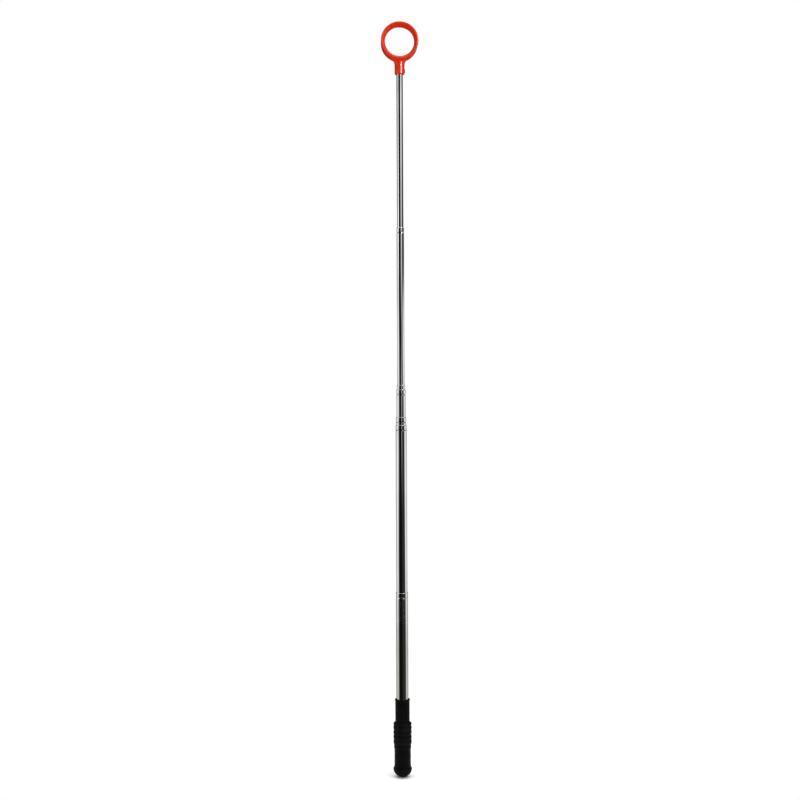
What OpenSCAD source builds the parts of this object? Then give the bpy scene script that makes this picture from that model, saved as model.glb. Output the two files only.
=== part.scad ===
// Telescopic golf ball retriever, standing upright on its grip.
// The pole's axis is Z, the butt's lowest point is the origin and the ring faces -Y.

/* [Ring head] */
// Height of the ring's centre above the butt
ring_z = 1065; // [1040:1:1090]
// Outer diameter of the ring
ring_od = 54.4; // [54:0.2:60]
// Diameter of the ring's mouth, where the ball goes in
mouth_d = 48.2; // [46:0.2:49]
// Diameter of the snap throat, just under a golf ball's 42.67
throat_d = 42.5; // [42:0.1:42.6]
// Depth of the ring, front to back
ring_depth = 22; // [20:1:24]
// Depth of the ring that the throat's straight wall takes up
throat_len = 4; // [3:0.5:6]
// Diameter of the neck
neck_d = 14.5; // [13:0.5:17]
// Height of the neck's lower end
neck_z = 1018; // [1014:1:1022]
// Fillet between the neck and the ring
neck_fillet = 13; // [8:1:14]

/* [Head rivet] */
// Diameter of the blind rivet's body
rivet_d = 3.2; // [2.4:0.1:4]
// Diameter of the rivet's flange
rivet_flange_d = 5.6; // [5:0.2:6.4]
// Height of the rivet above the butt
rivet_z = 1023; // [1021:1:1028]

/* [Tubes] */
// Outer diameter of the thinnest tube
top_tube_d = 9.3; // [8.8:0.1:9.8]
// Step in diameter from one tube to the next
tube_step = 1.335; // [1.3:0.005:1.4]
// Wall of every tube
tube_wall = 0.35; // [0.3:0.01:0.36]
// Length of the handle tube, which the grip covers in part
tube_7_len = 260; // [255:1:270]
// Length of the tube next to the handle tube
tube_6_len = 260; // [255:1:262]
// Length of tube 5
tube_5_len = 256; // [254:0.5:257]
// Length of tube 4
tube_4_len = 253; // [251:0.5:254]
// Length of tube 3
tube_3_len = 249; // [246:0.5:249.5]
// Length of tube 2
tube_2_len = 245.5; // [240:0.5:246]

/* [Rest pose] */
// How far tube 6 stands out of tube 7
show_6 = 242.5; // [200:0.5:242.5]
// How far tube 5 stands out of tube 6
show_5 = 11.5; // [7:0.5:30]
// How far tube 4 stands out of tube 5
show_4 = 40; // [20:0.5:60]
// How far tube 3 stands out of tube 4
show_3 = 6.5; // [6.5:0.5:30]
// How far tube 2 stands out of tube 3
show_2 = 228; // [200:0.5:228]

/* [Tube ends] */
// Distance from a tube's lip to the rolled stop groove below it
groove_drop = 7.2; // [6.5:0.1:8]
// Depth of the stop groove
groove_depth = 0.2; // [0.15:0.01:0.22]
// Length of the necked seat that holds the friction springs
seat_len = 8.5; // [8:0.5:9]
// How far the seat is necked in
seat_depth = 0.3; // [0.25:0.01:0.3]
// How far the foot is flared out under the springs
foot_flare = 0.2; // [0.15:0.01:0.22]

/* [Friction springs] */
// Thickness of the spring sheet
spring_wall = 0.22; // [0.15:0.01:0.25]
// Arc that each half shell covers
spring_arc = 160; // [140:5:170]

/* [Grip] */
// Length of the grip
grip_len = 112.8; // [110:0.2:120]
// Diameter of the slim barrel under the mouth
barrel_d = 20.8; // [20:0.2:22]
// Diameter over the finger ribs
rib_d = 26.6; // [26:0.2:28]
// Diameter of the palm barrel below the ribs
palm_d = 23.8; // [23:0.2:25]
// Diameter of the butt bulb
bulb_d = 27; // [26:0.2:28]
// Number of finger ribs
ribs = 5; // [4:1:5]
// Distance from one rib to the next
rib_pitch = 6.75; // [6.5:0.05:6.9]

/* [Hidden] */
$fn = 96;
tubes = 7;
tube_ids = [for (i = [1 : tubes]) i];
spring_ids = [for (i = [1 : tubes - 1]) i];
tube_names = [for (i = tube_ids) str("tube_", i)];
spring_names = [for (i = spring_ids, side = ["left", "right"]) str("friction_spring_", i, "_", side)];

// Clearances
fit_gap = 0.02;    // pressed and stretched fits
run_gap = 0.03;    // springs on their seats and in their tubes
lip_gap = 0.06;    // a tube's lip round the next tube

// Ring, from its centre plane
ring_front = -ring_depth / 2;
ring_back = ring_depth / 2;
lip_r = (ring_od - mouth_d) / 4;
throat_back = 0;
back_mouth_r = mouth_d / 2 + 0.3;
back_round = 1.5;
draft = 0.5;
socket_depth = 15.5;
neck_chamfer = 0.6;

// Tubes, from the handle up: each lip's height, each tube's lower end
tube_floor = 7;
lip_7 = tube_floor + tube_7_len;
lip_6 = lip_7 + show_6;
lip_5 = lip_6 + show_5;
lip_4 = lip_5 + show_4;
lip_3 = lip_4 + show_3;
lip_2 = lip_3 + show_2;
lip_1 = neck_z + socket_depth - fit_gap;
lips = [lip_1, lip_2, lip_3, lip_4, lip_5, lip_6, lip_7];
overlap = 17.5;    // least length that one tube keeps inside the next
tube_1_len = lip_1 - lip_2 + overlap;
lengths = [tube_1_len, tube_2_len, tube_3_len, tube_4_len, tube_5_len, tube_6_len, tube_7_len];

// Tube ends
lip_height = 0.9;
groove_half = 1.2;
shoulder = 0.4;
foot_len = 1.2;

// Rivet
flange_rim = 0.3;
flange_height = 0.95;
flange_edge = 1.4;
flange_turn = 72;
flange_seat = sqrt(pow(neck_d / 2, 2) - pow(rivet_flange_d / 2, 2));
rivet_bore_r = 0.9;
bulb_r = 2.1;      // where the rivet is upset against the inside of the top tube
bulb_start = 1.2;
bulb_rim_x = inside_tube_1(bulb_r);
bulb_neck_x = inside_tube_1(rivet_d / 2);
mandrel_r = 0.85;
mandrel_head_r = 1.4;
mandrel_start = 0.2;
mandrel_tip = flange_seat + 0.9;
rivet_chamfer = 0.1;

// End plug
plug_top = 14;
plug_flange = 1.4;
plug_chamfer = 0.8;
plug_wall = 2.2;
plug_floor = 1;
plug_gap = 0.06;

// Grip, from the butt up
dome_height = 12.4;
bulb_top = 13;
palm_bottom = 19.5;
rib_bottom = 41;
rib_depth = 0.8;
low_rib_taper = 0.7;
rib_top = rib_bottom + ribs * rib_pitch;
shoulder_start = 1.4;
shoulder_height = 3.6;
mouth_bead = 0.5;
bead_start = 3;
bead_slope = 1;
bead_round = 0.6;

function tube_r(i) = top_tube_d / 2 + (i - 1) * tube_step / 2;
function bore_r(i) = tube_r(i) - tube_wall;
function lip_z(i) = lips[i - 1];
function foot_z(i) = lip_z(i) - lengths[i - 1];

// How far out along X a piece inside the top tube can reach, at sideways distance y
function inside_tube_1(y) = sqrt(pow(bore_r(1), 2) - y * y) - fit_gap;

// [radius, height] along the outside of a rolled lip, turning in by turn
function lip_points(r, z, turn) =
    [for (a = [0 : 15 : 90]) [r - turn * (1 - cos(a)), z - lip_height * (1 - sin(a))]];

// [radius, height] along a rolled groove, upwards
function groove_points(r, z) =
    [for (a = [-180 : 30 : 180]) [r - groove_depth * (1 + cos(a)) / 2, z + groove_half * a / 180]];

// [radius, height] along the necked seat and the flared foot, upwards
function foot_points(r, z) = [
    [r + foot_flare, z],
    [r + foot_flare, z + foot_len - shoulder],
    [r - seat_depth, z + foot_len],
    [r - seat_depth, z + foot_len + seat_len],
    [r, z + foot_len + seat_len + shoulder]
];

function tube_line(i) = concat(
    i < tubes ? foot_points(tube_r(i), foot_z(i)) : [[tube_r(i), foot_z(i)]],
    i > 1 ? groove_points(tube_r(i), lip_z(i) - groove_drop) : [],
    i > 1 ? lip_points(tube_r(i), lip_z(i), tube_step / 2 - tube_wall - lip_gap) : [[tube_r(i), lip_z(i)]]
);

// The same line moved in by the wall, downwards
function inner_line(line) = [for (k = [len(line) - 1 : -1 : 0]) [line[k][0] - tube_wall, line[k][1]]];

module tube(i) {
    line = tube_line(i);
    color("gainsboro") difference() {
        rotate_extrude() polygon(concat(line, inner_line(line)));
        if (i == 1) rivet_hole();
    }
}

// Bowed sheet between the seat of tube i and the bore of the next tube
function spring_bow(i, wall) =
    let (inner = tube_r(i) - seat_depth + run_gap, outer = bore_r(i + 1) - run_gap - spring_wall)
    [for (k = [0 : 8]) [inner + (outer - inner) * sin(k * 22.5) + wall, k / 8]];

module friction_spring(i, side) {
    height = seat_len - 0.6;
    low = foot_z(i) + foot_len + 0.3;
    outer = [for (p = spring_bow(i, spring_wall)) [p[0], low + p[1] * height]];
    bow = spring_bow(i, 0);
    inner = [for (k = [len(bow) - 1 : -1 : 0]) [bow[k][0], low + bow[k][1] * height]];
    color("darkgoldenrod") rotate([0, 0, (side == "left" ? 180 : 0) - spring_arc / 2])
        rotate_extrude(angle = spring_arc) polygon(concat(outer, inner));
}

module rivet_hole() {
    translate([0, 0, rivet_z]) rotate([0, 90, 0]) cylinder(d = rivet_d + 2 * fit_gap, h = neck_d);
}

// [radius, depth] outline of the ring's wall: round the mouth, back along the outside, in to the throat
function ring_outline() = concat(
    [for (a = [0 : 15 : 180]) [mouth_d / 2 + lip_r * (1 - cos(a)), ring_front + lip_r * (1 - sin(a))]],
    [for (a = [0 : 15 : 90]) [
        ring_od / 2 - draft - back_round * (1 - cos(a)),
        ring_back - back_round * (1 - sin(a))
    ]],
    [
        [back_mouth_r, ring_back],
        [throat_d / 2, throat_back],
        [throat_d / 2, throat_back - throat_len]
    ]
);

module ring_wall() {
    rotate([90, 0, 0]) mirror([0, 0, 1]) rotate_extrude() polygon(ring_outline());
}

// Neck that flares into the ring with a round fillet
module neck() {
    reach = ring_od / 2 + neck_fillet;
    side = neck_d / 2 + neck_fillet;
    fillet_z = ring_z - sqrt(reach * reach - side * side);
    fillet_end = asin((ring_z - fillet_z) / reach);
    flare = [for (k = [0 : 8]) let (a = 180 - fillet_end * k / 8)
        [side + neck_fillet * cos(a), fillet_z + neck_fillet * sin(a)]];
    top = flare[len(flare) - 1];
    outline = concat(
        [[0, neck_z], [neck_d / 2 - neck_chamfer, neck_z], [neck_d / 2, neck_z + neck_chamfer]],
        flare,
        [[top[0], top[1] + 4], [0, top[1] + 4]]
    );
    intersection() {
        rotate_extrude() polygon(outline);
        translate([-ring_od / 2, ring_front + lip_r, neck_z - 1])
            cube([ring_od, ring_depth - lip_r - back_round, ring_od]);
    }
}

module ring_head() {
    color("orangered") difference() {
        union() {
            translate([0, 0, ring_z]) ring_wall();
            difference() {
                neck();
                translate([0, 0, ring_z]) rotate([90, 0, 0])
                    cylinder(d = mouth_d + 2, h = 2 * ring_depth, center = true);
            }
        }
        translate([0, 0, neck_z - 1]) cylinder(r = tube_r(1) + fit_gap, h = socket_depth + 1);
        rivet_hole();
        translate([flange_seat, 0, rivet_z]) rotate([0, 90, 0])
            cylinder(d = rivet_flange_d + 0.1, h = neck_d / 2);
    }
}

// Hollow blind rivet: domed flange outside the neck, upset bulb inside the top tube
module head_rivet() {
    seat = flange_seat + fit_gap;
    rim = seat + flange_rim;
    color("saddlebrown") translate([0, 0, rivet_z]) rotate([0, 90, 0]) rotate_extrude() polygon(concat(
        [
            [rivet_bore_r, bulb_start], [bulb_r - rivet_chamfer, bulb_start],
            [bulb_r, bulb_start + rivet_chamfer], [bulb_r, bulb_rim_x],
            [rivet_d / 2, bulb_neck_x], [rivet_d / 2, seat], [rivet_flange_d / 2, seat]
        ],
        [for (a = [0 : 18 : flange_turn])
            [rivet_flange_d / 2 - flange_edge * (1 - cos(a)), rim + flange_height * sin(a)]],
        [[rivet_bore_r, rim + flange_height * sin(flange_turn)]]
    ));
}

// What is left of the rivet's pull stem
module rivet_mandrel() {
    color("dimgray") translate([0, 0, rivet_z]) rotate([0, 90, 0]) rotate_extrude() polygon([
        [0, mandrel_start], [mandrel_head_r, mandrel_start], [mandrel_head_r, bulb_start - rivet_chamfer],
        [mandrel_r, bulb_start - fit_gap], [mandrel_r, mandrel_tip - rivet_chamfer], [0, mandrel_tip]
    ]);
}

// Flanged plug that the grip holds in the handle tube's lower end, where the collapsed tube 6 lands
module end_plug() {
    r = bore_r(tubes) - plug_gap;
    flange_r = tube_r(tubes);
    color("black") rotate_extrude() polygon([
        [0, tube_floor - plug_flange], [flange_r, tube_floor - plug_flange], [flange_r, tube_floor],
        [r, tube_floor], [r, plug_top - plug_chamfer], [r - plug_chamfer, plug_top],
        [r - plug_wall, plug_top], [r - plug_wall, tube_floor + plug_floor], [0, tube_floor + plug_floor]
    ]);
}

// Radius of a finger rib: the lowest one tapers towards the palm barrel
function rib_r(k) = rib_d / 2 - (k == 0 ? low_rib_taper : 0);

// [radius, height] over one finger rib, upwards from its groove
function rib_points(k) =
    [for (a = [0 : 22.5 : 157.5]) [
        rib_r(k) - rib_depth * (1 - sqrt(sin(a))),
        rib_bottom + rib_pitch * (k + a / 180)
    ]];

function grip_outline() = concat(
    [for (a = [-90 : 15 : 0]) [bulb_d / 2 * cos(a), dome_height * (1 + sin(a))]],
    [[bulb_d / 2, bulb_top]],
    [for (a = [0 : 15 : 90]) [
        bulb_d / 2 - (bulb_d - palm_d) / 2 * sin(a),
        bulb_top + (palm_bottom - bulb_top) * (1 - cos(a))
    ]],
    [for (k = [0 : ribs - 1]) each rib_points(k)],
    [[rib_d / 2 - rib_depth, rib_top]],
    [for (a = [15 : 15 : 90]) [
        barrel_d / 2 + (rib_d - barrel_d) / 2 * cos(a),
        rib_top + shoulder_start + shoulder_height * sin(a)
    ]],
    [
        [barrel_d / 2, grip_len - bead_start],
        [barrel_d / 2 + mouth_bead, grip_len - bead_start + bead_slope],
        [barrel_d / 2 + mouth_bead, grip_len - bead_round],
        [barrel_d / 2 + mouth_bead - bead_round, grip_len]
    ]
);

module grip() {
    well_r = tube_r(tubes) + fit_gap;
    well_z = tube_floor - plug_flange - fit_gap;
    color("#1c1c1e") rotate_extrude() polygon(concat(
        grip_outline(),
        [[well_r, grip_len], [well_r, well_z], [0, well_z]]
    ));
}

ring_head();
head_rivet();
rivet_mandrel();
for (i = tube_ids) tube(i);
for (i = spring_ids, side = ["left", "right"])
    friction_spring(i, side);
end_plug();
grip();
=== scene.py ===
"""Telescopic golf ball retriever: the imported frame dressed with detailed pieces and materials."""
import math

import bmesh
import bpy
from mathutils import Matrix, Vector


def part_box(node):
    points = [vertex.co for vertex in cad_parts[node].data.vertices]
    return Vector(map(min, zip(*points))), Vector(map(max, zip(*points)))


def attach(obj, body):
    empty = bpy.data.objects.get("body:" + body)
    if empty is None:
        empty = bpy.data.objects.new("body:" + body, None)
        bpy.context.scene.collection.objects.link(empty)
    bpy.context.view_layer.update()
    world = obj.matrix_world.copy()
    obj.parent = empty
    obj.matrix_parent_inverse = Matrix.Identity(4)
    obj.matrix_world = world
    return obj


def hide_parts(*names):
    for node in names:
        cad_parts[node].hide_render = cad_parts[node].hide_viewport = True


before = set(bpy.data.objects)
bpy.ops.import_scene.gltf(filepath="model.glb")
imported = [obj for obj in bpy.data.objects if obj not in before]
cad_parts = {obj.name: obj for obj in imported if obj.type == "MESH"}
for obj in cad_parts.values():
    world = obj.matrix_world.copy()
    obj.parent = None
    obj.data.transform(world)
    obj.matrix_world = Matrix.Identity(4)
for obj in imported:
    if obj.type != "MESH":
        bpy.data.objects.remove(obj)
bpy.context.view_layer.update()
MM = 0.001

# Tubes, in millimetres
TUBES = 7
TOP_TUBE_R = 4.65
TUBE_STEP = 0.6675
WALL = 0.35
LIP_GAP = 0.06
LIP_ROUND = 0.9
GROOVE_DROP = 7.2
GROOVE_HALF = 1.2
GROOVE_DEPTH = 0.2
SEAT_DEPTH = 0.3
SEAT_LENGTH = 8.5
FOOT_LENGTH = 1.2
FOOT_FLARE = 0.2
SHOULDER = 0.4
HOLD = 0.3
SATIN_LOW = 222.5
SATIN_HIGH = 258.5

# Grip, in millimetres
GRIP_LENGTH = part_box("grip")[1].z / MM
BARREL_R = 10.4
RIB_R = 13.3
PALM_R = 11.9
BULB_R = 13.5
DOME_HEIGHT = 12.4
BULB_TOP = 13.0
PALM_BOTTOM = 19.5
PALM_EASE = 0.4
RIB_BOTTOM = 41.0
RIBS = 5
RIB_PITCH = 6.75
RIB_DEPTH = 0.8
RIB_FULLNESS = 0.55
LOW_RIB_TAPER = 0.7
RIB_TOP = RIB_BOTTOM + RIBS * RIB_PITCH
SHOULDER_BOTTOM = RIB_TOP + 1.4
SHOULDER_HEIGHT = 3.6
MOUTH_BEAD = 0.5
BEAD_BOTTOM = GRIP_LENGTH - 3.2
BEAD_RISE = 1.4
MOUTH_ROUND = 0.8
MOUTH_BEVEL = 0.35
WELL_GAP = 0.02
WELL_FLOOR = 5.58

# Ring head, in millimetres
RING_LOW, RING_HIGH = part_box("ring_head")
RING_R = (RING_HIGH.x - RING_LOW.x) / 2 / MM
RING_Z = RING_HIGH.z / MM - RING_R
HALF_DEPTH = (RING_HIGH.y - RING_LOW.y) / 2 / MM
MOUTH_R = 24.1
THROAT_R = 21.25
THROAT_BACK = 0.0
THROAT_FRONT = -4.0
BACK_R = 24.4
DRAFT = 0.5
BACK_ROUND = 1.5
MATT_R = 25.0
MATT_FADE = 1.2
NECK_R = 7.25
NECK_Z = RING_LOW.z / MM
NECK_EDGE = 0.5
NECK_FILLET = 13.0
NECK_BURIED = 3.0
NECK_SHY = 1.0
SOCKET_R = 4.67
SOCKET_TOP = NECK_Z + 15.5

# Rivet, in millimetres; distances along it are from the pole's axis
RIVET_Z = 1023.0
RIVET_HOLE_R = 1.62
RIVET_HOLE_START = 1.0
TUBE_HOLE_START = 2.0
SPOT_FACE_R = 2.85
FLANGE_SEAT = 6.69
OUTSIDE_NECK = 9.0
STEM_R = 0.9
UPSET_R = 2.1
UPSET_EDGE = 0.1
UPSET_END = 3.73
SHANK_START = 3.97
SHANK_R = 1.6
FLANGE_R = 2.8
FLANGE_HEIGHT = 1.15
FLANGE_EDGE = 0.22
FLANGE_DOME_START = 0.3
FLANGE_DOME_RISE = 0.85
FLANGE_DOME_CLOSING = 1.5
FLANGE_DOME_TURN = 80.0

# Stage, in metres
FLOOR_R = 0.45
FLOOR_FADE = (0.12, 0.44)
NECK_HEIGHT = 1.03
RING_FOOT_HEIGHT = 1.04


# ---------------------------------------------------------------- mesh helpers

def new_object(name, mesh, body, slot, *nodes):
    """A finished mesh as a piece of the object that stands for some CAD nodes."""
    piece = bpy.data.objects.new(name, mesh)
    bpy.context.scene.collection.objects.link(piece)
    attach(piece, body)
    if nodes:
        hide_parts(*nodes)
    return piece


def revolve(name, outline, segments=128):
    """A closed mesh: the outline's (radius, height) points in mm, in order round it, turned about Z.

    A point on the axis becomes one vertex.
    """
    bm = bmesh.new()
    rings = []
    for radius, height in outline:
        if radius < 1e-6:
            rings.append([bm.verts.new((0, 0, height * MM))])
            continue
        rings.append([
            bm.verts.new((
                radius * MM * math.cos(math.tau * k / segments),
                radius * MM * math.sin(math.tau * k / segments),
                height * MM,
            ))
            for k in range(segments)
        ])
    for first, second in zip(rings, rings[1:] + rings[:1]):
        if len(first) == 1 and len(second) == 1:
            continue
        for k in range(segments):
            corners = [first[k % len(first)], first[(k + 1) % len(first)]]
            corners += [second[(k + 1) % len(second)], second[k % len(second)]]
            unique = list(dict.fromkeys(corners))
            if len(unique) > 2:
                bm.faces.new(unique)
    return finished(bm, name)


def finished(bm, name):
    """The mesh of a closed bmesh, with its faces turned outwards."""
    bmesh.ops.recalc_face_normals(bm, faces=bm.faces)
    mesh = bpy.data.meshes.new(name)
    bm.to_mesh(mesh)
    bm.free()
    return mesh


def shade(mesh, sharp_degrees=40):
    """Smooth shading with edges kept sharp past an angle."""
    mesh.shade_smooth()
    mesh.set_sharp_from_angle(angle=math.radians(sharp_degrees))


def arc(cx, cz, radius, start, end, steps):
    """Points of an arc in the (radius, height) plane, from start to end degrees."""
    turns = [math.radians(start + (end - start) * k / steps) for k in range(steps + 1)]
    return [(cx + radius * math.cos(t), cz + radius * math.sin(t)) for t in turns]


def quarter_turn(steps):
    """Even angles from 0 to a right angle, in radians."""
    return [math.pi / 2 * k / steps for k in range(steps + 1)]


def temporary(mesh):
    """An object that is deleted again before the script ends."""
    made = bpy.data.objects.new("temporary", mesh)
    bpy.context.scene.collection.objects.link(made)
    return made


def cutter(radius, start, end, place=Matrix()):
    """A cylinder to cut with, along Z from start to end and then put in its place."""
    mesh = revolve("cutter", [(0, start), (radius, start), (radius, end), (0, end)])
    mesh.transform(place)
    return temporary(mesh)


def across_at(height):
    """The turn that lays a shape drawn along Z along X, at a height in mm."""
    return Matrix.Translation((0, 0, height * MM)) @ Matrix.Rotation(math.radians(90), 4, "Y")


def through_ring():
    """The turn that lays a shape drawn along Z along the ring's axis, from front to back."""
    return Matrix.Translation((0, 0, RING_Z * MM)) @ Matrix.Rotation(math.radians(-90), 4, "X")


def carve(piece, tools):
    """Cuts the tools out of a piece and drops them."""
    for tool in tools:
        join(piece, tool, "DIFFERENCE")
    bake_modifiers(piece)
    for tool in tools:
        bpy.data.objects.remove(tool)


def join(piece, other, operation):
    """Adds a boolean modifier that joins or cuts with another object."""
    step = piece.modifiers.new(operation.lower(), "BOOLEAN")
    step.operation = operation
    step.solver = "EXACT"
    step.object = other


def bake_modifiers(piece):
    """Replaces a piece's mesh with what its modifiers make of it."""
    graph = bpy.context.evaluated_depsgraph_get()
    baked = bpy.data.meshes.new_from_object(piece.evaluated_get(graph))
    piece.modifiers.clear()
    piece.data = baked


# ---------------------------------------------------------------- node helpers

class Nodes:
    """A short way to write a material's or the world's node tree."""

    def __init__(self, tree):
        self.tree = tree
        tree.nodes.clear()

    def add(self, kind, **settings):
        """A new node with some of its settings."""
        node = self.tree.nodes.new(kind)
        for key, value in settings.items():
            setattr(node, key, value)
        return node

    def put(self, source, socket):
        """Links a socket, or sets a plain value."""
        if isinstance(source, bpy.types.NodeSocket):
            self.tree.links.new(source, socket)
        else:
            socket.default_value = source

    def math(self, operation, a, b=0.0):
        """The operation on one or two sockets or numbers."""
        node = self.add("ShaderNodeMath", operation=operation)
        self.put(a, node.inputs[0])
        self.put(b, node.inputs[1])
        return node.outputs[0]

    def times(self, a, b):
        return self.math("MULTIPLY", a, b)

    def plus(self, a, b):
        return self.math("ADD", a, b)

    def length(self, a, b):
        """The length of the diagonal with sides a and b."""
        return self.math("SQRT", self.plus(self.math("POWER", a, 2.0), self.math("POWER", b, 2.0)))

    def ramp(self, value, low, high, start=0.0, end=1.0):
        """start below low, end above high, and smooth between them."""
        node = self.add("ShaderNodeMapRange", interpolation_type="SMOOTHSTEP")
        for key, number in (("Value", value), ("From Min", low), ("From Max", high)):
            self.put(number, node.inputs[key])
        self.put(start, node.inputs["To Min"])
        self.put(end, node.inputs["To Max"])
        return node.outputs[0]

    def band(self, value, low, high, soft):
        """1 between low and high, 0 outside, with soft edges."""
        up = self.ramp(value, low - soft, low + soft)
        down = self.ramp(value, high - soft, high + soft, 1.0, 0.0)
        return self.times(up, down)

    def mix(self, factor, a, b):
        """Colour a where the factor is 0, b where it is 1."""
        node = self.add("ShaderNodeMix", data_type="RGBA")
        self.put(factor, node.inputs["Factor"])
        self.put(a, node.inputs[6])
        self.put(b, node.inputs[7])
        return node.outputs[2]

    def place(self, stretch=(1, 1, 1)):
        """The piece's own coordinates in metres, stretched."""
        coords = self.add("ShaderNodeTexCoord")
        mapping = self.add("ShaderNodeMapping")
        self.tree.links.new(coords.outputs["Object"], mapping.inputs["Vector"])
        mapping.inputs["Scale"].default_value = stretch
        return mapping.outputs[0]

    def split(self, vector):
        """A vector's X, Y and Z."""
        node = self.add("ShaderNodeSeparateXYZ")
        self.tree.links.new(vector, node.inputs[0])
        return tuple(node.outputs)

    def noise(self, vector, scale, detail=3.0, roughness=0.5):
        """Cloudy noise of about 0 to 1 with scale features a metre."""
        node = self.add("ShaderNodeTexNoise")
        self.tree.links.new(vector, node.inputs["Vector"])
        node.inputs["Scale"].default_value = scale
        node.inputs["Detail"].default_value = detail
        node.inputs["Roughness"].default_value = roughness
        return node.outputs["Fac"]

    def bump(self, height, distance, strength, normal=None):
        """A normal for relief of a distance in metres, on top of another normal."""
        node = self.add("ShaderNodeBump")
        self.tree.links.new(height, node.inputs["Height"])
        node.inputs["Distance"].default_value = distance
        node.inputs["Strength"].default_value = strength
        if normal is not None:
            self.tree.links.new(normal, node.inputs["Normal"])
        return node.outputs[0]


def material(name):
    """A new material, its node helper and its shader, wired to the output."""
    made = bpy.data.materials.new(name)
    made.use_nodes = True
    nodes = Nodes(made.node_tree)
    shader = nodes.add("ShaderNodeBsdfPrincipled")
    output = nodes.add("ShaderNodeOutputMaterial")
    nodes.tree.links.new(shader.outputs[0], output.inputs["Surface"])
    return made, nodes, shader


def dress(piece, look):
    """Gives a piece one material."""
    piece.data.materials.clear()
    piece.data.materials.append(look)


def dress_node(node, look):
    """Gives every material slot of a CAD node one material."""
    for material_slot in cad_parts[node].material_slots:
        material_slot.material = look


# ---------------------------------------------------------------- materials

def polished_steel():
    """Drawn and buffed steel: fine lines along it, smudges, and a satin band on the handle tube."""
    made, nodes, shader = material("polished_steel")
    clean, smudged = (0.66, 0.655, 0.64, 1), (0.56, 0.55, 0.53, 1)
    lines = nodes.noise(nodes.place((1, 1, 0.012)), 9000.0, 2.0)
    smudge = nodes.noise(nodes.place((1, 1, 0.35)), 90.0, 4.0, 0.6)
    height = nodes.split(nodes.place())[2]
    satin = nodes.band(height, SATIN_LOW * MM, SATIN_HIGH * MM, 0.0004)
    rough = nodes.ramp(smudge, 0.45, 0.8, 0.015, 0.06)
    rough = nodes.plus(rough, nodes.times(lines, 0.02))
    rough = nodes.plus(rough, nodes.times(satin, 0.12))
    nodes.put(rough, shader.inputs["Roughness"])
    nodes.put(nodes.mix(nodes.ramp(smudge, 0.3, 0.8), clean, smudged), shader.inputs["Base Color"])
    nodes.put(nodes.bump(lines, 0.000002, 0.3), shader.inputs["Normal"])
    shader.inputs["Metallic"].default_value = 1.0
    return made


def orange_plastic():
    """Glossy moulding with faint flow marks and fine scuffs; the ring's inside has a matt texture."""
    made, nodes, shader = material("orange_plastic")
    deep, bright = (0.74, 0.030, 0.0028, 1), (0.80, 0.040, 0.0035, 1)
    scuffed = (0.85, 0.085, 0.012, 1)
    flow = nodes.noise(nodes.place(), 60.0, 3.0)
    grain = nodes.noise(nodes.place(), 2600.0, 2.0)
    scuff = nodes.noise(nodes.place((1, 3, 1)), 420.0, 5.0, 0.65)
    colour = nodes.mix(nodes.ramp(flow, 0.3, 0.7), deep, bright)
    colour = nodes.mix(nodes.ramp(scuff, 0.62, 0.80, 0.0, 0.12), colour, scuffed)
    nodes.put(colour, shader.inputs["Base Color"])
    across, _, up = nodes.split(nodes.place())
    radius = nodes.length(across, nodes.math("SUBTRACT", up, RING_Z * MM))
    matt = nodes.ramp(radius, MATT_R * MM, (MATT_R + MATT_FADE) * MM, 0.4, 0.0)
    gloss = nodes.ramp(flow, 0.3, 0.7, 0.20, 0.24)
    nodes.put(nodes.plus(gloss, matt), shader.inputs["Roughness"])
    soft = nodes.bump(flow, 0.0002, 0.2)
    nodes.put(nodes.bump(grain, 0.000005, 0.25, soft), shader.inputs["Normal"])
    shader.inputs["Specular IOR Level"].default_value = 0.2
    return made


def black_rubber():
    """Moulded rubber: satin, finely pebbled, greyer where hands and the floor rub its crests."""
    made, nodes, shader = material("black_rubber")
    dark, dusty = (0.0008, 0.0009, 0.0011, 1), (0.0018, 0.0020, 0.0024, 1)
    grey = (0.007, 0.0075, 0.009, 1)
    pebble = nodes.noise(nodes.place(), 1500.0, 3.0, 0.6)
    cloud = nodes.noise(nodes.place(), 70.0, 4.0)
    across, deep, _ = nodes.split(nodes.place())
    crest = nodes.ramp(nodes.length(across, deep), (RIB_R - RIB_DEPTH) * MM, (RIB_R + 0.1) * MM)
    rubbed = nodes.times(crest, nodes.ramp(cloud, 0.35, 0.75))
    colour = nodes.mix(nodes.ramp(cloud, 0.3, 0.7), dark, dusty)
    colour = nodes.mix(nodes.times(rubbed, 0.4), colour, grey)
    nodes.put(colour, shader.inputs["Base Color"])
    nodes.put(nodes.ramp(cloud, 0.3, 0.8, 0.42, 0.58), shader.inputs["Roughness"])
    nodes.put(nodes.bump(pebble, 0.00006, 0.35), shader.inputs["Normal"])
    shader.inputs["Specular IOR Level"].default_value = 0.04
    return made


def enamelled_rivet():
    """Dark brown enamel over aluminium, chipped in specks."""
    made, nodes, shader = material("rivet_enamel")
    enamel, bare = (0.10, 0.022, 0.012, 1), (0.48, 0.45, 0.42, 1)
    chip = nodes.ramp(nodes.noise(nodes.place(), 1900.0, 4.0, 0.7), 0.66, 0.70)
    nodes.put(nodes.mix(chip, enamel, bare), shader.inputs["Base Color"])
    nodes.put(chip, shader.inputs["Metallic"])
    nodes.put(nodes.ramp(chip, 0.0, 1.0, 0.32, 0.45), shader.inputs["Roughness"])
    return made


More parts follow.
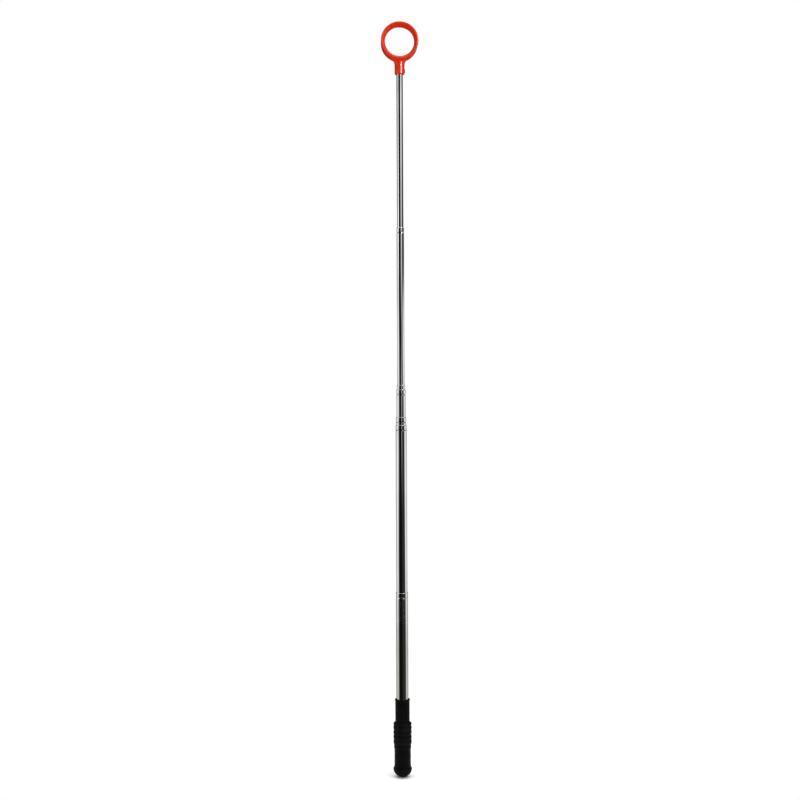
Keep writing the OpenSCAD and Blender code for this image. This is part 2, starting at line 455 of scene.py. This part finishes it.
def worn_metal(name, light, dark, rough):
    """Bare metal with a mottled tone."""
    made, nodes, shader = material(name)
    mottle = nodes.noise(nodes.place(), 700.0, 5.0, 0.6)
    nodes.put(nodes.mix(nodes.ramp(mottle, 0.3, 0.7), light, dark), shader.inputs["Base Color"])
    nodes.put(nodes.ramp(mottle, 0.3, 0.8, rough, rough + 0.15), shader.inputs["Roughness"])
    nodes.put(nodes.bump(mottle, 0.00001, 0.4), shader.inputs["Normal"])
    shader.inputs["Metallic"].default_value = 1.0
    return made


def plug_plastic():
    """Matt black plastic with a moulded grain."""
    made, nodes, shader = material("plug_plastic")
    dark, light = (0.012, 0.012, 0.012, 1), (0.03, 0.03, 0.032, 1)
    grain = nodes.noise(nodes.place(), 1200.0, 3.0)
    nodes.put(nodes.mix(grain, dark, light), shader.inputs["Base Color"])
    nodes.put(nodes.ramp(grain, 0.3, 0.7, 0.5, 0.65), shader.inputs["Roughness"])
    nodes.put(nodes.bump(grain, 0.00004, 0.4), shader.inputs["Normal"])
    return made


STEEL = polished_steel()
PLASTIC = orange_plastic()
RUBBER = black_rubber()
ENAMEL = enamelled_rivet()
STEM = worn_metal("stem_steel", (0.45, 0.45, 0.46, 1), (0.30, 0.30, 0.31, 1), 0.3)
BRONZE = worn_metal("spring_bronze", (0.66, 0.40, 0.20, 1), (0.50, 0.27, 0.13, 1), 0.22)
PLUG = plug_plastic()


# ---------------------------------------------------------------- tubes

def tube_radius(number):
    """A tube's outer radius; number 1 is the thinnest, at the top."""
    return TOP_TUBE_R + (number - 1) * TUBE_STEP


def foot_line(radius, foot):
    """Flared foot and necked spring seat, upwards.

    Its last two points, HOLD apart, keep the shading of the wall above straight.
    """
    seat_low = foot + FOOT_LENGTH
    seat_high = seat_low + SEAT_LENGTH
    line = [(radius + FOOT_FLARE, foot), (radius + FOOT_FLARE, seat_low - SHOULDER)]
    line += [(radius - SEAT_DEPTH, seat_low), (radius - SEAT_DEPTH, seat_high)]
    return line + [(radius, seat_high + SHOULDER), (radius, seat_high + SHOULDER + HOLD)]


def groove_line(radius, middle):
    """Rolled groove, upwards, as a smooth dip."""
    steps = 16
    line = [(radius, middle - GROOVE_HALF - HOLD)]
    for k in range(steps + 1):
        across = 2 * k / steps - 1
        dip = GROOVE_DEPTH * (1 + math.cos(math.pi * across)) / 2
        line.append((radius - dip, middle + GROOVE_HALF * across))
    return line + [(radius, middle + GROOVE_HALF + HOLD)]


def lip_line(radius, lip):
    """Rolled lip, upwards, closing in on the next tube."""
    closing = TUBE_STEP - WALL - LIP_GAP
    line = [(radius, lip - LIP_ROUND - HOLD)]
    line += [(radius - closing * (1 - math.cos(a)), lip - LIP_ROUND * (1 - math.sin(a)))
             for a in quarter_turn(10)]
    return line


def tube_outline(number):
    """The wall's outside from foot to lip, then its inside back down."""
    low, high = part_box(f"tube_{number}")
    foot, lip = low.z / MM, high.z / MM
    radius = tube_radius(number)
    line = foot_line(radius, foot) if number < TUBES else [(radius, foot)]
    if number > 1:
        line += groove_line(radius, lip - GROOVE_DROP) + lip_line(radius, lip)
    else:
        line += [(radius, lip)]
    inner = [(r - WALL, z) for r, z in reversed(line)]
    return line + inner


def body_name(number):
    """The body that a tube belongs to."""
    return {1: "head_section", TUBES: "handle"}.get(number, f"section_{number}")


def build_tube(number):
    """One tube; the top one is drilled for the rivet."""
    name = f"tube_{number}_drawn"
    mesh = revolve(name, tube_outline(number), 160)
    tube = new_object(name, mesh, body_name(number), "polished_tube", f"tube_{number}")
    if number == 1:
        outside = TOP_TUBE_R + 1
        carve(tube, [cutter(RIVET_HOLE_R, TUBE_HOLE_START, outside, across_at(RIVET_Z))])
    shade(tube.data)
    dress(tube, STEEL)


for tube_number in range(1, TUBES + 1):
    build_tube(tube_number)

for inner_tube in range(1, TUBES):
    for hand in ("left", "right"):
        dress_node(f"friction_spring_{inner_tube}_{hand}", BRONZE)
dress_node("end_plug", PLUG)
dress_node("rivet_mandrel", STEM)


# ---------------------------------------------------------------- grip

def butt_line():
    """Domed bulb and the curve above it up to the palm, upwards."""
    line = [(BULB_R * math.sin(a), DOME_HEIGHT * (1 - math.cos(a))) for a in quarter_turn(24)]
    waist, rise = BULB_R - PALM_R, PALM_BOTTOM - BULB_TOP
    line += [(BULB_R - waist * math.sin(a), BULB_TOP + rise * (1 - math.cos(a)))
             for a in quarter_turn(14)]
    return line + [(PALM_R, PALM_BOTTOM + HOLD), (PALM_R, RIB_BOTTOM - HOLD - PALM_EASE)]


def rib_line(index):
    """One finger rib between two rounded grooves, upwards."""
    top = RIB_R - (LOW_RIB_TAPER if index == 0 else 0)
    steps = 18
    line = []
    for k in range(steps):
        rise = math.sin(math.pi * k / steps) ** RIB_FULLNESS
        line.append((top - RIB_DEPTH * (1 - rise), RIB_BOTTOM + RIB_PITCH * (index + k / steps)))
    return line


def shoulder_line():
    """Rounded shoulder from the top rib in to the barrel, upwards."""
    width = RIB_R - BARREL_R
    line = [(RIB_R - RIB_DEPTH, RIB_TOP)]
    line += [(BARREL_R + width * math.cos(a), SHOULDER_BOTTOM + SHOULDER_HEIGHT * math.sin(a))
             for a in quarter_turn(14)[1:]]
    return line + [(BARREL_R, SHOULDER_BOTTOM + SHOULDER_HEIGHT + HOLD)]


def mouth_line():
    """The barrel's beaded mouth, upwards, and its bevel into the well."""
    steps = 8
    line = [(BARREL_R, BEAD_BOTTOM - HOLD), (BARREL_R, BEAD_BOTTOM)]
    for k in range(1, steps + 1):
        swell = MOUTH_BEAD * (1 - math.cos(math.pi * k / steps)) / 2
        line.append((BARREL_R + swell, BEAD_BOTTOM + BEAD_RISE * k / steps))
    bead_middle = BARREL_R + MOUTH_BEAD - MOUTH_ROUND
    line += arc(bead_middle, GRIP_LENGTH - MOUTH_ROUND, MOUTH_ROUND, 0, 90, steps)
    well = tube_radius(TUBES) + WELL_GAP
    return line + [(well + MOUTH_BEVEL, GRIP_LENGTH), (well, GRIP_LENGTH - MOUTH_BEVEL)]


def grip_outline():
    """The sleeve's outside from the butt up, then down the well that holds tube 7."""
    line = butt_line()
    for index in range(RIBS):
        line += rib_line(index)
    line += shoulder_line() + mouth_line()
    return line + [(tube_radius(TUBES) + WELL_GAP, WELL_FLOOR), (0, WELL_FLOOR)]


grip_mesh = revolve("rubber_grip", grip_outline(), 192)
shade(grip_mesh, 60)
grip = new_object("rubber_grip", grip_mesh, "handle", "grip_rubber", "grip")
dress(grip, RUBBER)


# ---------------------------------------------------------------- ring head

def ring_mesh():
    """The ring: rounded mouth, funnel, snap throat and a rounded back."""
    lip = (RING_R - MOUTH_R) / 2
    back_edge = RING_R - DRAFT - BACK_ROUND
    outline = arc(RING_R - lip, -HALF_DEPTH + lip, lip, 180, 360, 24)
    outline += arc(back_edge, HALF_DEPTH - BACK_ROUND, BACK_ROUND, 0, 90, 10)
    outline += [(BACK_R, HALF_DEPTH), (THROAT_R, THROAT_BACK), (THROAT_R, THROAT_FRONT)]
    mesh = revolve("ring_wall", outline, 256)
    mesh.transform(through_ring())
    return mesh


def neck_layers():
    """(half width, height) up the neck: a bevelled foot, a fillet into the ring, and a buried end."""
    reach = RING_R + NECK_FILLET
    side = NECK_R + NECK_FILLET
    drop = math.sqrt(reach ** 2 - side ** 2)
    end = math.degrees(math.asin(drop / reach))
    layers = [(NECK_R - NECK_EDGE, NECK_Z), (NECK_R, NECK_Z + NECK_EDGE)]
    layers += arc(side, RING_Z - drop, NECK_FILLET, 180, 180 - end, 20)
    widest, top = layers[-1]
    return layers + [(widest, top + NECK_BURIED)]


def neck_mesh():
    """The neck: round below, flaring into the ring, and a little deeper there."""
    layers = neck_layers()
    widest = layers[-1][0]
    segments = 96
    turns = [math.tau * k / segments for k in range(segments)]
    bm = bmesh.new()
    rings = []
    for width, height in layers:
        flare = max(0.0, (width - NECK_R) / (widest - NECK_R))
        depth = min(width, NECK_R + (HALF_DEPTH - NECK_SHY - NECK_R) * flare ** 2)
        rings.append([
            bm.verts.new((width * MM * math.cos(t), depth * MM * math.sin(t), height * MM))
            for t in turns
        ])
    for first, second in zip(rings, rings[1:]):
        for k in range(segments):
            after = (k + 1) % segments
            bm.faces.new((first[k], first[after], second[after], second[k]))
    bm.faces.new(rings[0])
    bm.faces.new(rings[-1])
    return finished(bm, "neck")


def build_ring_head():
    """Ring and neck joined into one moulding, then bored for the tube and the rivet."""
    inside_wall = MOUTH_R + 1.0
    past = HALF_DEPTH + 2
    neck = temporary(neck_mesh())
    carve(neck, [cutter(inside_wall, -past, past, through_ring())])
    head = new_object("ring_moulding", ring_mesh(), "head_section", "ring_plastic", "ring_head")
    join(head, neck, "UNION")
    bake_modifiers(head)
    bpy.data.objects.remove(neck)
    socket = cutter(SOCKET_R, NECK_Z - 2, SOCKET_TOP)
    rivet_hole = cutter(RIVET_HOLE_R, RIVET_HOLE_START, OUTSIDE_NECK, across_at(RIVET_Z))
    spot_face = cutter(SPOT_FACE_R, FLANGE_SEAT, OUTSIDE_NECK, across_at(RIVET_Z))
    carve(head, [socket, rivet_hole, spot_face])
    shade(head.data, 38)
    even = head.modifiers.new("even", "WEIGHTED_NORMAL")
    even.keep_sharp = True
    bake_modifiers(head)
    dress(head, PLASTIC)


build_ring_head()


# ---------------------------------------------------------------- rivet

def rivet_outline():
    """(radius, distance along X): bulb inside the tube, shank, and a domed flange with an edge."""
    low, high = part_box("head_rivet")
    start, end = low.x / MM, high.x / MM
    seat = end - FLANGE_HEIGHT
    line = [(STEM_R, start), (UPSET_R - UPSET_EDGE, start), (UPSET_R, start + UPSET_EDGE)]
    line += [(UPSET_R, UPSET_END), (SHANK_R, SHANK_START), (SHANK_R, seat)]
    line += [(FLANGE_R, seat), (FLANGE_R, seat + FLANGE_EDGE)]
    dome, steps = seat + FLANGE_DOME_START, 10
    for k in range(1, steps + 1):
        a = math.radians(FLANGE_DOME_TURN) * k / steps
        closing = FLANGE_DOME_CLOSING * (1 - math.cos(a))
        line.append((FLANGE_R - closing, dome + FLANGE_DOME_RISE * math.sin(a)))
    return line + [(STEM_R, end)]


rivet_mesh = revolve("blind_rivet", rivet_outline(), 64)
rivet_mesh.transform(across_at(RIVET_Z))
shade(rivet_mesh, 50)
rivet = new_object("blind_rivet", rivet_mesh, "head_section", "rivet_enamel", "head_rivet")
dress(rivet, ENAMEL)


# ---------------------------------------------------------------- stage

def pale_floor():
    """Near white, and fading out to the same white as the background away from the pole."""
    made, nodes, shader = material("pale_floor")
    pale, paler = (0.93, 0.93, 0.93, 1), (0.96, 0.96, 0.96, 1)
    grain = nodes.noise(nodes.place(), 40.0, 3.0)
    nodes.put(nodes.mix(grain, pale, paler), shader.inputs["Base Color"])
    nodes.put(nodes.ramp(grain, 0.3, 0.7, 0.7, 0.8), shader.inputs["Roughness"])
    shader.inputs["Specular IOR Level"].default_value = 0.2
    reach = nodes.add("ShaderNodeVectorMath", operation="LENGTH")
    nodes.tree.links.new(nodes.place(), reach.inputs[0])
    clear = nodes.ramp(reach.outputs["Value"], *FLOOR_FADE, 1.0, 0.0)
    nodes.put(clear, shader.inputs["Alpha"])
    return made


def build_floor():
    """A disc under the butt, to catch its shadow."""
    bm = bmesh.new()
    bmesh.ops.create_circle(bm, cap_ends=True, segments=128, radius=FLOOR_R)
    mesh = bpy.data.meshes.new("floor")
    bm.to_mesh(mesh)
    bm.free()
    floor = bpy.data.objects.new("floor", mesh)
    bpy.context.scene.collection.objects.link(floor)
    floor.data.materials.append(pale_floor())


# ---------------------------------------------------------------- studio
#
# What the polished tubes mirror. side is a direction's bearing from -Y, positive to the right, left is
# the same bearing positive to the left, and rise is its height, all in degrees. The tubes mirror a lower
# rise at their foot than at their top, so what changes with rise changes along the pole.

def white_walls(nodes, side, left, rise):
    """White walls to both sides; the left one comes further round to the front the higher it is."""
    drift = nodes.plus(nodes.ramp(rise, -7.5, -2.0, -13.0, 0.0), nodes.ramp(rise, 4.0, 12.0, 0.0, 9.0))
    near = nodes.ramp(rise, 2.0, 6.0, 40.0, 56.0)
    far = nodes.ramp(rise, 2.0, 6.0, 82.0, 72.0)
    wall_left = nodes.ramp(nodes.plus(left, drift), near, far)
    wall_right = nodes.ramp(nodes.plus(side, nodes.ramp(rise, -8.0, -3.0, -6.0, 0.0)), 57.0, 81.0)
    walls = nodes.math("MAXIMUM", wall_left, wall_right)
    bright_right = nodes.times(nodes.band(side, 68.0, 92.0, 7.0), 0.3)
    bright_left = nodes.times(nodes.band(left, 58.0, 96.0, 9.0), nodes.ramp(rise, 5.0, 6.5, 0.35, 0.8))
    walls = nodes.times(walls, nodes.plus(1.0, nodes.plus(bright_right, bright_left)))
    away = nodes.math("ABSOLUTE", side)
    walls = nodes.times(walls, nodes.ramp(away, 128.0, 146.0, 1.0, 0.05))
    return nodes.times(walls, nodes.ramp(rise, -11.5, -8.0, 0.72, 1.0))


def under_ceiling(nodes, side, left, rise):
    """1, or nearly 0 where a dark ceiling hides the walls; it comes further forward the higher it is."""
    ceiling_left = nodes.ramp(nodes.plus(left, nodes.times(rise, 3.6)), 124.0, 144.0)
    ceiling_right = nodes.ramp(nodes.plus(side, rise), 54.0, 70.0)
    ceiling = nodes.math("MAXIMUM", ceiling_left, ceiling_right)
    ceiling = nodes.times(ceiling, nodes.band(rise, 5.0, 34.0, 2.0))
    return nodes.math("SUBTRACT", 1.0, nodes.times(ceiling, 0.92))


def soft_panel(nodes, side, rise):
    """A panel to the right of the camera: a dim skirt at eye level, a glint and the lit face above."""
    start = nodes.math("SUBTRACT", side, nodes.ramp(rise, 5.0, 9.0, 0.0, 4.0))
    start = nodes.ramp(start, 8.0, 20.0)
    skirt = nodes.times(nodes.ramp(rise, -1.5, 3.0, 0.03, 0.32), nodes.ramp(rise, 4.0, 6.0, 1.0, 0.3))
    glint = nodes.times(nodes.band(side, 4.0, 15.0, 2.5), nodes.ramp(rise, -6.0, 0.5, 0.02, 0.7))
    glint = nodes.times(glint, nodes.ramp(rise, 1.0, 3.0, 1.0, 0.0))
    edge = nodes.math("SUBTRACT", side, nodes.times(rise, 3.7))
    face = nodes.times(nodes.ramp(edge, 4.0, 20.0, 1.0, 0.0), nodes.band(rise, 5.0, 16.0, 1.8))
    panel = nodes.plus(nodes.times(skirt, start), nodes.times(nodes.times(face, start), 1.2))
    return nodes.math("MAXIMUM", panel, glint)


def build_world():
    """A white studio that is dark in front; the camera itself sees plain white."""
    world = bpy.data.worlds.new("studio")
    bpy.context.scene.world = world
    world.use_nodes = True
    nodes = Nodes(world.node_tree)
    x, y, z = nodes.split(nodes.add("ShaderNodeTexCoord").outputs["Generated"])
    side = nodes.times(nodes.math("ARCTAN2", x, nodes.times(y, -1.0)), 180 / math.pi)
    rise = nodes.times(nodes.math("ARCSINE", z), 180 / math.pi)
    left = nodes.times(side, -1.0)
    walls = nodes.times(white_walls(nodes, side, left, rise), under_ceiling(nodes, side, left, rise))
    overhead = nodes.times(nodes.ramp(rise, 38.0, 60.0), 2.3)
    level = nodes.math("MAXIMUM", walls, soft_panel(nodes, side, rise))
    level = nodes.plus(nodes.math("MAXIMUM", level, overhead), 0.008)
    white, warm = (1, 1, 1, 1), (1.0, 0.97, 0.88, 1)
    lit = nodes.add("ShaderNodeBackground")
    nodes.put(nodes.mix(nodes.ramp(rise, -15.0, -9.0, 1.0, 0.0), white, warm), lit.inputs["Color"])
    nodes.put(level, lit.inputs["Strength"])
    seen = nodes.add("ShaderNodeBackground")
    seen.inputs["Strength"].default_value = 1.0
    seen.inputs["Color"].default_value = white
    choose = nodes.add("ShaderNodeMixShader")
    nodes.put(nodes.add("ShaderNodeLightPath").outputs["Is Camera Ray"], choose.inputs[0])
    nodes.put(lit.outputs[0], choose.inputs[1])
    nodes.put(seen.outputs[0], choose.inputs[2])
    nodes.put(choose.outputs[0], nodes.add("ShaderNodeOutputWorld").inputs["Surface"])


# ---------------------------------------------------------------- lights and camera

def area_light(name, place, target, size, watts):
    """A rectangular light of a (width, height), turned towards a target."""
    data = bpy.data.lights.new(name, "AREA")
    data.shape = "RECTANGLE"
    data.size, data.size_y = size
    data.energy = watts
    light = bpy.data.objects.new(name, data)
    bpy.context.scene.collection.objects.link(light)
    light.location = place
    light.rotation_euler = (Vector(target) - Vector(place)).to_track_quat("-Z", "Y").to_euler()
    return light


def only_on(light, *pieces):
    """Keeps a light to some pieces."""
    chosen = bpy.data.collections.new(f"{light.name}_pieces")
    for piece in pieces:
        chosen.objects.link(bpy.data.objects[piece])
    light.light_linking.receiver_collection = chosen


def build_lights():
    """A key light, a soft fill from below, and a light only for the stripe of shine on the neck."""
    neck = (0, 0, NECK_HEIGHT)
    ring_foot = (0, 0, RING_FOOT_HEIGHT)
    stripe = area_light("stripe", (1.31, -1.74, 1.65), target=neck, size=(0.9, 0.4), watts=75.0)
    stripe.visible_diffuse = False
    only_on(stripe, "ring_moulding")
    area_light("key", (1.42, -1.46, 2.03), target=neck, size=(1.1, 0.7), watts=20.0)
    bounce = area_light("bounce", (0.1, -1.0, 0.12), target=ring_foot, size=(1.4, 0.8), watts=11.5)
    bounce.visible_glossy = False


def build_camera():
    """Level camera at the middle of the pole, a little to the left of straight ahead."""
    distance = 1.740
    eye_height = 0.546
    azimuth = math.radians(-2.7)
    pan = Matrix.Rotation(math.radians(0.05), 4, "Y")
    roll = Matrix.Rotation(math.radians(-0.26), 4, "Z")
    data = bpy.data.cameras.new("camera")
    data.lens = 54.0
    data.sensor_width = 36.0
    data.clip_start = 0.01
    camera = bpy.data.objects.new("camera", data)
    bpy.context.scene.collection.objects.link(camera)
    place = Vector((math.sin(azimuth) * distance, -math.cos(azimuth) * distance, eye_height))
    look = (Vector((0, 0, eye_height)) - place).to_track_quat("-Z", "Y").to_matrix().to_4x4()
    camera.matrix_world = Matrix.Translation(place) @ look @ pan @ roll
    bpy.context.scene.camera = camera


build_floor()
build_world()
build_lights()
build_camera()
bpy.context.scene.view_settings.view_transform = "Standard"
